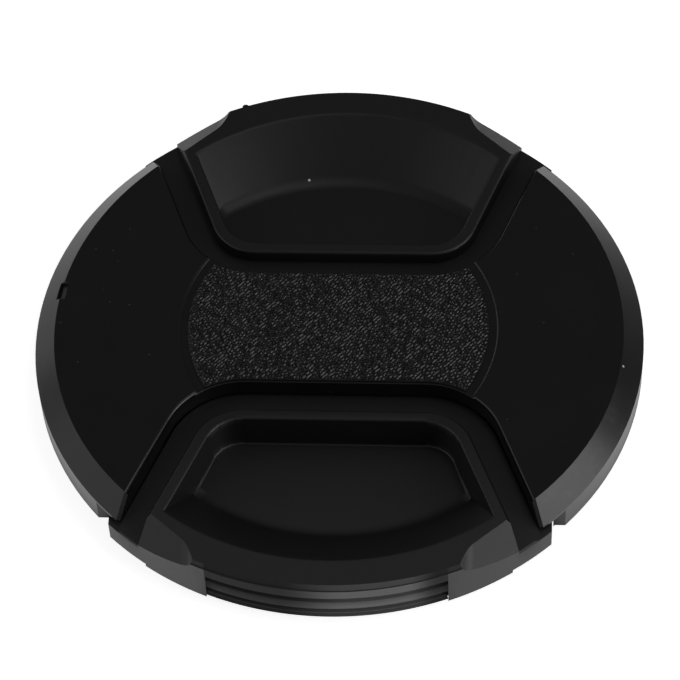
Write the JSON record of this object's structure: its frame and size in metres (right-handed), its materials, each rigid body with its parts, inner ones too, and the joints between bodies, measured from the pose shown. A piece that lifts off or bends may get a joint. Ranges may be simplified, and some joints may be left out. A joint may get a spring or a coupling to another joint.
{
  "type": "lens cap",
  "caption": "Round centre-pinch cap with sprung sliding tabs and finger pockets, covering a lens front by its filter thread.",
  "frame": {"origin": "on the cap's axis, at the foot of the locating ring and the hooks that it rests on", "axes": "+Z out of the cap's face, Y along the line on which both tabs are pinched, +X towards the right ear"},
  "size_m": [0.08, 0.082, 0.009],
  "materials": {
    "cover_plastic": "satin black",
    "tab_plastic": "satin black",
    "plate_plastic": "matt black",
    "spring_steel": "bright drawn wire"
  },
  "bodies": {
    "cover": {"front_cover": "cover_plastic", "back_plate": "plate_plastic", "left_spring": "spring_steel", "right_spring": "spring_steel"},
    "upper_tab": {"upper_pinch_tab": "tab_plastic"},
    "lower_tab": {"lower_pinch_tab": "tab_plastic"}
  },
  "joints": [
    {"name": "upper_pinch", "type": "slide", "parent": "cover", "child": "upper_tab", "axis": [0, -1, 0], "range_m": [0, 0.003], "stiffness_N_per_m": 800, "springref_m": -0.003, "deforming": ["left_spring", "right_spring"]},
    {"name": "lower_pinch", "type": "slide", "parent": "cover", "child": "lower_tab", "axis": [0, 1, 0], "range_m": [0, 0.003], "stiffness_N_per_m": 800, "springref_m": -0.003, "deforming": ["left_spring", "right_spring"]}
  ]
}
